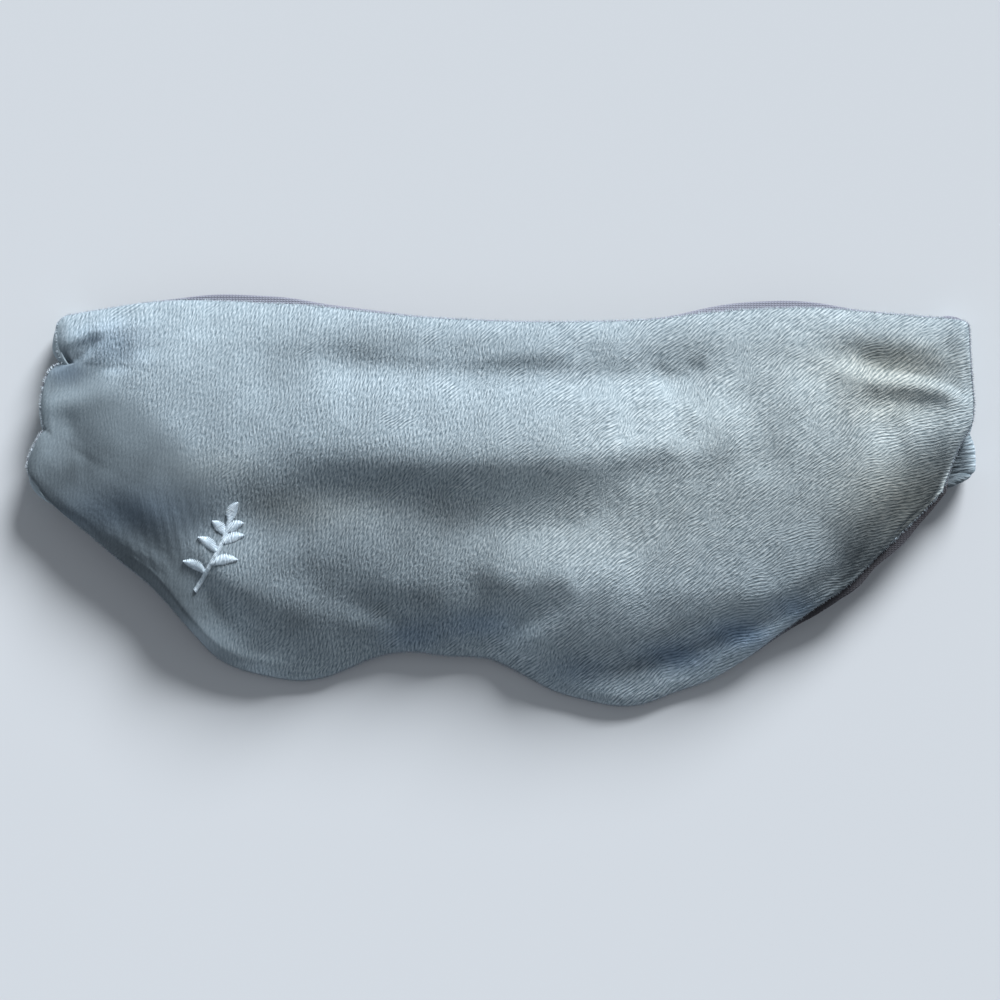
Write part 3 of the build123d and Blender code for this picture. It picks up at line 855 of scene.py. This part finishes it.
elastic_weave = make_elastic()
for side, band in bands.items():
    tip = side + "_tip"
    sleeve, _, _ = lay_cloth(side + "_band_sleeve", wrap_sleeve(band), flat_size=(117.0, 82.0))
    work = bmesh.new()
    work.from_mesh(sleeve.data)
    bmesh.ops.remove_doubles(work, verts=work.verts, dist=0.00002)
    bmesh.ops.recalc_face_normals(work, faces=work.faces)
    work.to_mesh(sleeve.data)
    work.free()
    sleeve.data.shade_smooth()
    paint(sleeve, "nap_and_shade", spots(*plan_of(sleeve), SLEEVE_NAP))
    paint(sleeve, "lean", 0.3)
    sleeve.data.materials.append(velour)
    thicken(sleeve, SLEEVE_CLOTH)
    start, end = band.metres(4, 0, 3.5), band.metres(84, 0, 3.5)
    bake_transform(sleeve)
    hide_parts(side + "_band_casing")

    along = np.linspace(CASING_START + 0.5, CASING_END, ELASTIC_GRID[0])[:, None]
    across = np.linspace(-ELASTIC_WIDTH / 2, ELASTIC_WIDTH / 2, ELASTIC_GRID[1])[None, :]
    middle, _, _ = band.middle_height(along)
    elastic, _, _ = lay_cloth(side + "_elastic_web", band.place(along, across, middle),
                              flat_size=(CASING_END - CASING_START, ELASTIC_WIDTH))
    elastic.data.materials.append(elastic_weave)
    thicken(elastic, ELASTIC_THICK, 0)
    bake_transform(elastic)
    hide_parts(side + "_band_elastic")


# --- Gathered ends --------------------
# Where the pad turns under into a band, its cloth is drawn together in soft lengthwise folds.
# The left end lies in three rolls; the right one is flatter and stands out below the velour.

# How far inside the fold line its outer edge lies, from brow to cheek: (Y, distance).
LEFT_REACH = [(46.6, 2.0), (45.4, 0.9), (42.0, 0.6), (38.0, 1.2), (36.0, 2.6), (34.4, 4.6), (33.4, 3.2),
              (31.0, 1.2), (27.6, 0.9), (23.6, 1.0), (20.0, 1.9), (17.8, 3.2), (16.0, 2.2), (12.0, 1.2),
              (8.0, 1.2), (4.0, 3.0), (1.0, 6.5)]
RIGHT_REACH = [(45.4, 2.4), (44.4, 1.0), (42.0, 0.6), (38.0, 0.5), (30.0, 0.4), (24.0, 0.3), (19.0, 0.8),
               (16.6, 1.5), (14.0, 0.6), (11.5, 0.3), (7.4, 0.5), (5.4, 1.8), (3.6, 3.9), (2.0, 6.4),
               (0.8, 9.0)]
# How the cloth turns, from the pad's face to the sleeve: (distance inside its outer edge, height).
LEFT_TURN = [(2.2, 9.6), (0.7, 8.9), (0.0, 7.3), (-0.1, 5.2), (0.5, 3.0), (2.3, 1.4), (5.2, 0.85),
             (9.5, 0.72)]
RIGHT_TURN = [(10.5, 6.2), (6.4, 6.0), (3.4, 6.9), (1.3, 8.1), (0.1, 7.7), (-0.1, 5.4), (0.5, 3.1),
              (2.3, 1.5), (5.2, 0.85), (9.5, 0.72)]
TURN_CORE = (3.6, 5.6)  # the turn is wrapped round this place
TURN_STEPS = 48
TURN_PITCH = 3.8  # points for each millimetre across
TURN_FOLD = {"left": 6.2, "right": 1.05}  # width of one lengthwise fold
TURN_FOLD_DEPTH = {"left": 0.35, "right": 0.17}
EDGE_POINTS = 400  # points that trace the outer edge smoothly
LEAST_FULL = 0.02  # square of the least fullness, which the strip has at its sides
# Painted shade in the pocket where the right flap tucks under the velour's edge, and a painted highlight on
# the flap's outer edge: centre, half axes, strength.
TURN_SHADE_AND_HIGHLIGHT = [(113.4, 8, 4.0, 12, -1.15), (110, 1, 4, 3.5, -0.8), (119.2, 9, 1.0, 6, 0.9)]
# Offset of the cloth's thickness, and what its material reads: strength of the painted shade and highlight
# spots, lean, calm.
TURN_LOOK = {"left": (-1, 0.0, 0.0, 0.8), "right": (1, 1.0, 1.0, 0.3)}


def turn_under(band, reach, path, low, high, low_run, high_run):
    """Cloth from the pad's end round to the band's sleeve: places along the turn and across it."""
    y, out = np.array(reach[::-1]).T
    want = np.linspace(low, high, int((high - low) * TURN_PITCH) + 1)
    smooth_y, smooth_out = along_line(np.stack([y, out], 1), np.linspace(0, 1, EDGE_POINTS)).T
    edge = np.interp(want, smooth_y, smooth_out)
    across = (want - band.root[1]) / band.across[1]
    side_run = np.minimum((want - low) / low_run, (high - want) / high_run)
    fullness = np.sqrt(np.clip(1 - (1 - np.clip(side_run, 0, 1)) ** 2, LEAST_FULL, 1))
    turn = np.linspace(0, 1, TURN_STEPS + 1)[:, None]
    wobble = 0.8 * ripple(want[None] / 7, turn * 1.2, 71.0)
    ribs = np.abs(np.sin(np.pi * (want[None] / TURN_FOLD[band.side] + wobble))) ** 0.7
    push = TURN_FOLD_DEPTH[band.side] * (1 - ribs) * smooth(5 * turn) * smooth(3 * (1 - turn))
    away = along_line(path, turn[:, 0])[:, None, :] - TURN_CORE
    size = np.linalg.norm(away, axis=2, keepdims=True)
    lie = TURN_CORE + away * (1 - push[..., None] / size) * fullness[None, :, None]
    excess = 1 - np.minimum(1, (CASING_WIDTH / 2) / np.maximum(np.abs(across), 1e-6))[None, :]
    inwards = lie[..., 0] + edge[None] * (1 - 0.75 * smooth(turn * 1.6 - 0.6))
    return band.place(inwards, across[None] * (1 - smooth(turn) * excess), lie[..., 1])


for side, reach, path in (("left", LEFT_REACH, LEFT_TURN), ("right", RIGHT_REACH, RIGHT_TURN)):
    band = bands[side]
    offset, turn_shading, lean, calm = TURN_LOOK[side]
    edge = band.root[1] - CASING_WIDTH / 2 - 0.4
    strips = {"gathered_end": (edge, reach[0][0], 1.0, 3.0, (0.024, 0.040)),
              "corner_tuck": (reach[-1][0], edge, 2.0, 1.0, (0.022, 0.010))}
    for part, (low, high, low_run, high_run, flat) in strips.items():
        places = turn_under(band, reach, path, low, high, low_run, high_run)
        turn, _, _ = lay_cloth(side + "_" + part, places, flat_size=(22.0, high - low))
        paint(turn, "nap_and_shade", 0.1 + turn_shading * spots(*plan_of(turn), TURN_SHADE_AND_HIGHLIGHT))
        paint(turn, "lean", lean)
        paint(turn, "calm", calm)
        turn.data.materials.append(velour)
        thicken(turn, SLEEVE_CLOTH, offset)
        if part == "gathered_end":
            band.metres(0, 0, 8.7)
            band.metres(0, 0, 6.6)
            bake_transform(turn)
        else:
            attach(turn, "mask")


# --- Tabs and closure --------------------
# The band ends in a flat tab, two plies of velour turned and topstitched. One tab carries woven
# hook tape on the side that faces the wearer's hair, and the other brushed loop tape.

TAB_WIDTH = 38.0
TAB_CORNER = 9.0
TAB_EDGE = 0.7
TAPE_LENGTH, TAPE_WIDTH = 19.0, 32.0
STITCH = (0.95, 0.22)  # length and thickness of one stitch
STITCH_PITCH = 1.5
TAB_MIDDLE = TAB_START + TAB_LENGTH / 2
TAB_CLOTH = 0.3  # metres along the cloth at which the tab is cut
TAPE_INSET = 1.2  # the tape is sewn this far inside its edge
# Hooks stand in rows, upright and facing either way; loops lie anyhow. Each has its pitch along
# and across, how far it strays from its row, and how high it arches.
HOOKS, LOOPS = (0.95, 0.95, 0.08, 0.9), (0.95, 0.8, 0.4, 0.8)
HOOK_SIZE = (0.9, 0.16, 0.85)  # length, thickness, height
LOOP_LENGTH, LOOP_THICK, LOOP_HEIGHT = (0.7, 1.2), 0.1, (0.5, 0.9)
BARE_START, BARE_END = 2.2, 2.0  # bare border of a tape round its hooks or loops


def scatter(name, shape, origins, axes, material):
    """One mesh of many copies of a small shape, each at an origin with its three axes."""
    bmesh.ops.triangulate(shape, faces=shape.faces)
    bmesh.ops.recalc_face_normals(shape, faces=shape.faces)
    shape.verts.index_update()
    corners = np.array([v.co[:] for v in shape.verts])
    faces = np.array([[v.index for v in face.verts] for face in shape.faces])
    shape.free()
    places = np.asarray(origins)[:, None] + np.einsum("vk,nkd->nvd", corners, np.asarray(axes))
    index = faces[None] + (np.arange(len(origins)) * len(corners))[:, None, None]
    mesh = bpy.data.meshes.new(name)
    mesh.from_pydata(places.reshape(-1, 3) / 1000, [], index.reshape(-1, 3).tolist())
    mesh.shade_smooth()
    mesh.materials.append(material)
    return new_object(name, mesh)


def thread_loop(rings, sides, lift):
    """Short thread that arches from one end to the other: 1 long, 1 thick, in its own axes."""
    shape = bmesh.new()
    bmesh.ops.create_grid(shape, x_segments=rings, y_segments=sides, size=0.5)
    for vert in shape.verts:
        t, angle = vert.co.x, (vert.co.y + 0.5) * 2 * math.pi
        thick = 0.5 * math.sqrt(max(0.0, 1 - (1.9 * t) ** 4))
        vert.co = (t, thick * math.cos(angle), thick * math.sin(angle) + lift * math.cos(math.pi * t))
    bmesh.ops.remove_doubles(shape, verts=shape.verts, dist=0.0001)
    return shape


# Rayon and polyester thread: twisted, with a silky sheen. Its strands are drawn 0.45 mm across, as
# coarse as they need to show.
def make_thread(name, light, dark):
    material, tree = new_material(name)
    place = add_node(tree, "TexCoord").outputs["Object"]
    strands = add_node(tree, "TexNoise", {"Vector": place, "Scale": 2200.0, "Detail": 1.0})
    ramp = add_node(tree, "ValToRGB", {"Fac": strands})
    set_tones(ramp, (0.3, dark), (0.7, light))
    surface = add_node(tree, "BsdfPrincipled", {"Base Color": ramp, "Roughness": 0.42,
                                                "Specular IOR Level": 0.45, "Sheen Weight": 0.2})
    add_node(tree, "OutputMaterial", {"Surface": surface})
    return material


# Nylon tape: woven ground, 0.7 mm a cell, with a stiff glossy face of hooks or a soft one of loops.
def make_tape(name, light, dark, roughness):
    material, tree = new_material(name)
    place = add_node(tree, "TexCoord").outputs["Object"]
    weave = add_node(tree, "TexChecker", {"Vector": place, "Scale": 1400.0})
    grain = add_node(tree, "TexNoise", {"Vector": place, "Scale": 900.0, "Detail": 2.0})
    height = add_node(tree, "Mix", {"Factor": 0.6, "A": weave, "B": grain})
    ramp = add_node(tree, "ValToRGB", {"Fac": height})
    set_tones(ramp, (0, dark), (1, light))
    bump = add_node(tree, "Bump", {"Height": height, "Strength": 0.5, "Distance": 0.0002})
    surface = add_node(tree, "BsdfPrincipled", {"Base Color": ramp, "Normal": bump,
                                                "Roughness": roughness, "Specular IOR Level": 0.4})
    add_node(tree, "OutputMaterial", {"Surface": surface})
    return material


grey_thread = make_thread("grey_sewing_thread", "#9aa6ae", "#76828a")
hook_tape = make_tape("nylon_hook_tape", "#7f8990", "#565f66", 0.45)
loop_tape = make_tape("nylon_loop_tape", "#8b959c", "#626b72", 0.85)


def rounded_run(length, width, corner, pitch):
    """Points and directions round a rounded rectangle centred on its own origin."""
    points = []
    for cx, cy, turn in ((1, 1, 0), (-1, 1, 90), (-1, -1, 180), (1, -1, 270)):
        for step in range(7):
            angle = math.radians(turn + 15 * step)
            points.append((cx * (length / 2 - corner) + corner * math.cos(angle),
                           cy * (width / 2 - corner) + corner * math.sin(angle)))
    points = np.array(points + points[:1])
    total = distances(points)[-1]
    want = np.arange(0, total, pitch)
    place = walk(points, want)
    way = walk(points, (want + 0.3) % total) - place
    return place, way / np.linalg.norm(way, axis=1, keepdims=True)


def sew_tape(name, band, height, up, body):
    """Machine stitches along the edge of the tape, flat on one side of the tab."""
    length, width = TAPE_LENGTH - 2 * TAPE_INSET, TAPE_WIDTH - 2 * TAPE_INSET
    place, way = rounded_run(length, width, TAPE_INSET, STITCH_PITCH)
    origins = band.place(TAB_MIDDLE + place[:, 0], place[:, 1], height)
    forward = way[:, :1] * band.heading + way[:, 1:] * band.across
    normal = np.array((0, 0, up))
    axes = [np.array((STITCH[0] * f, STITCH[1] * np.cross(normal, f), STITCH[1] * normal)) for f in forward]
    seam = scatter(name, thread_loop(5, 6, 0.35), origins, axes, grey_thread)
    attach(seam, body)


rng = random.Random(5)
for side, band in bands.items():
    tip = side + "_tip"
    low = side == "left"
    bottom = TAB_BOTTOM[side] + (0.0 if low else TAPE_THICK)
    face_up = 1.0 if low else -1.0
    work = bmesh.new()
    bmesh.ops.create_grid(work, x_segments=1, y_segments=1, size=0.5)
    bmesh.ops.scale(work, verts=work.verts, vec=(TAB_LENGTH, TAB_WIDTH, 1))
    free_corners = [vert for vert in work.verts if vert.co.x > 0]
    bmesh.ops.bevel(work, geom=free_corners, offset=TAB_CORNER, offset_type="OFFSET", segments=10,
                    profile=0.5, affect="VERTICES", material=-1)
    out = bmesh.ops.extrude_face_region(work, geom=work.faces[:])
    raised = [part for part in out["geom"] if isinstance(part, bmesh.types.BMVert)]
    bmesh.ops.translate(work, verts=raised, vec=(0, 0, TAB_THICK))
    bmesh.ops.recalc_face_normals(work, faces=work.faces)
    rims = [edge for edge in work.edges if abs(edge.verts[0].co.z - edge.verts[1].co.z) < 0.01]
    bmesh.ops.bevel(work, geom=rims, offset=TAB_EDGE, offset_type="OFFSET", segments=4, profile=0.5,
                    affect="EDGES", material=-1)
    cloth_map = work.loops.layers.uv.new("cloth")
    for face in work.faces:
        face.smooth = True
        for loop in face.loops:
            loop[cloth_map].uv = (loop.vert.co.x / 1000 + TAB_CLOTH, loop.vert.co.y / 1000)
    for vert in work.verts:
        x, y, z = vert.co
        vert.co = band.metres(TAB_MIDDLE + x, y, bottom + z)
    tab = new_piece(side + "_tab_velour", work)
    tab.data.materials.append(velour)
    paint(tab, "lean", 0.4)
    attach(tab, tip)
    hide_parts(side + "_tab")

    node = "left_hook_patch" if low else "right_loop_patch"
    tape = frame["nodes"][node]
    tape.data.materials.clear()
    tape.data.materials.append(hook_tape if low else loop_tape)
    tape_top = bottom + (TAB_THICK + TAPE_THICK if low else -TAPE_THICK)
    sew_tape(side + "_tape_stitches", band, tape_top, face_up, tip)
    sew_tape(side + "_tab_stitches", band, bottom + (0.18 if low else TAB_THICK), -face_up, tip)
    origins, axes = [], []
    pitch_along, pitch_across, stray, arch = HOOKS if low else LOOPS
    for a in np.arange(-TAPE_LENGTH / 2 + BARE_START, TAPE_LENGTH / 2 - BARE_END, pitch_along):
        for b in np.arange(-TAPE_WIDTH / 2 + BARE_START, TAPE_WIDTH / 2 - BARE_END, pitch_across):
            a_shift, b_shift = rng.uniform(-stray, stray), rng.uniform(-stray, stray)
            spin = (rng.choice((0, math.pi)) if low else rng.uniform(0, math.pi)) + rng.uniform(-0.2, 0.2)
            forward = math.cos(spin) * band.heading + math.sin(spin) * band.across
            normal = np.array((0, 0, face_up))
            size = HOOK_SIZE if low else (rng.uniform(*LOOP_LENGTH), LOOP_THICK, rng.uniform(*LOOP_HEIGHT))
            origins.append(band.place(TAB_MIDDLE + a + a_shift, b + b_shift, tape_top))
            axes.append(np.array((size[0] * forward, size[1] * np.cross(normal, forward), size[2] * normal)))
    pile = scatter("left_tape_hooks" if low else "right_tape_loops", thread_loop(6, 4, arch),
                   origins, axes, hook_tape if low else loop_tape)
    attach(pile, tip)


# --- Embroidery --------------------
# A small leafy sprig, machine embroidered in pale satin stitch. The threads lie side by side
# across each leaf and press into the pile.

MOTIF_PLACE = (-70.6, -13.4)
SATIN_PITCH = 0.35
STEM = [(-5.5, -9.2), (-2.5, -4.5), (0.3, 0.5), (2.3, 5.0), (3.2, 8.4)]
STEM_WIDTH, LEAF_WIDTH = 1.3, 2.7
LEAVES = [((-2.7, -4.7), 152, 6.2), ((0.1, 0.5), 142, 5.8), ((2.1, 4.7), 132, 4.6), ((-1.3, -2.4), 8, 6.6),
          ((1.3, 2.7), 18, 5.8), ((2.4, 5.6), 26, 4.6), ((3.1, 8.0), 66, 5.2)]      # foot, way, length
STEM_SLANT, LEAF_SLANT = 0.35, 0.12  # how far a thread leans out of square
LEAF_BOW = 0.09  # how far a leaf's middle line curves, as a share of its length
LEAF_ENDS, LEAF_POWER = (0.06, 0.97), 0.7  # a leaf is a sine between these shares, to this power
SATIN_THICK, SATIN_LIFT = 0.36, (0.54, 0.68)
SATIN_UNEVEN = 0.07  # share by which a thread's length varies
satin_thread = make_thread("white_satin_thread", "#e4eff5", "#b3c4ce")
steps = len(front_v)
front_quads = [(k, k + steps, k + steps + 1, k + 1) for k in range((len(front_u) - 1) * steps)
               if (k + 1) % steps]
face_tree = BVHTree.FromPolygons([tuple(p) for p in front_places.reshape(-1, 3)], front_quads)


def unit(vector):
    """Vector of length 1."""
    return vector / np.linalg.norm(vector)


def satin(line, width, slant, pointed=False):
    """Origins and axes of the threads that cross a line, on the velour."""
    count = int(distances(np.array(line))[-1] / SATIN_PITCH)
    points = along_line(line, np.linspace(0, 1, count + 1))
    ways = np.gradient(points, axis=0)
    leaf = np.sin(np.pi * np.linspace(*LEAF_ENDS, count + 1)) ** LEAF_POWER
    share = leaf if pointed else np.ones(count + 1)
    threads = []
    for (x, y), way, spread in zip(points, ways, width * share):
        way = unit(way)
        above = Vector((MOTIF_PLACE[0] + x, MOTIF_PLACE[1] + y, 60))
        hit, normal, _, _ = face_tree.ray_cast(above, Vector((0, 0, -1)))
        normal = np.array(normal) if normal.z > 0 else -np.array(normal)
        across = np.array((*unit(np.array((-way[1], way[0])) + slant * way), 0.0))
        across = unit(across - normal * across.dot(normal))
        spread = spread * (1 + rng.uniform(-SATIN_UNEVEN, SATIN_UNEVEN))
        axes = (spread * across, SATIN_THICK * np.cross(normal, across), rng.uniform(*SATIN_LIFT) * normal)
        threads.append((np.array(hit) + normal * 0.05, np.array(axes)))
    return threads


threads = satin(STEM, STEM_WIDTH, STEM_SLANT)
for foot, heading, length in LEAVES:
    way = np.array((math.cos(math.radians(heading)), math.sin(math.radians(heading))))
    bow = np.array((-way[1], way[0])) * LEAF_BOW * length * (1 if heading < 90 else -1)
    leaf = [foot, foot + way * length / 2 + bow, foot + way * length]
    threads += satin(leaf, LEAF_WIDTH, LEAF_SLANT, pointed=True)
origins, axes = zip(*threads)
motif = scatter("embroidered_sprig", thread_loop(6, 6, 0.62), origins, axes, satin_thread)
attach(motif, "mask")


# --- Edge pile --------------------
# Along the rolled edge the pile stands out past the cloth in fine tapering tufts, combed a little
# to one side, and it half covers the lining where that shows.

EDGE_PITCH = 0.16  # between tufts along the edge
EDGE_LENGTH = (0.35, 0.85)
EDGE_THICK = 0.24
EDGE_STEP = 0.6  # distance over which the edge's direction is measured
EDGE_INSET = 0.25  # each tuft is rooted this far inside the edge
EDGE_SWAY = (0.25, 0.35)  # mean and spread of how far a tuft leans along the edge
EDGE_TILT = (-0.6, 0.7)
EDGE_ROOT = (-0.1, 1.2)  # height of the roots over the edge


def tuft_blade():
    """Tapering tuft, 1 long in X."""
    shape = bmesh.new()
    bmesh.ops.create_cone(shape, segments=3, radius1=0.5, radius2=0.12, depth=1.0, cap_ends=False)
    bmesh.ops.rotate(shape, verts=shape.verts, matrix=Matrix.Rotation(math.pi / 2, 3, "Y"))
    bmesh.ops.translate(shape, verts=shape.verts, vec=(0.4, 0, 0))
    return shape


rim = np.vstack([front_places[:, -1], front_places[-1, ::-1], front_places[::-1, 0], front_places[0]])
roots = np.arange(0, distances(rim)[-1], EDGE_PITCH)
origins, axes = [], []
for place, ahead in zip(walk(rim, roots), walk(rim, roots + EDGE_STEP)):
    way = ahead - place
    way /= max(np.linalg.norm(way), 1e-6)
    out = np.array((-way[1], way[0], 0.0))
    aim = unit(out + way * rng.gauss(*EDGE_SWAY) + np.array((0, 0, rng.uniform(*EDGE_TILT))))
    side = unit(np.cross(aim, (0, 0, 1)))
    size = rng.uniform(*EDGE_LENGTH)
    origins.append(place + np.array((0, 0, rng.uniform(*EDGE_ROOT))) - out * EDGE_INSET)
    axes.append(np.array((aim * size, side * EDGE_THICK, np.cross(aim, side) * EDGE_THICK)))
velour_pile = make_fibre("velour_pile", "#ced8dd", "#9fabb2", 900.0)
edge_pile = scatter("edge_pile", tuft_blade(), origins, axes, velour_pile)
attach(edge_pile, "mask")
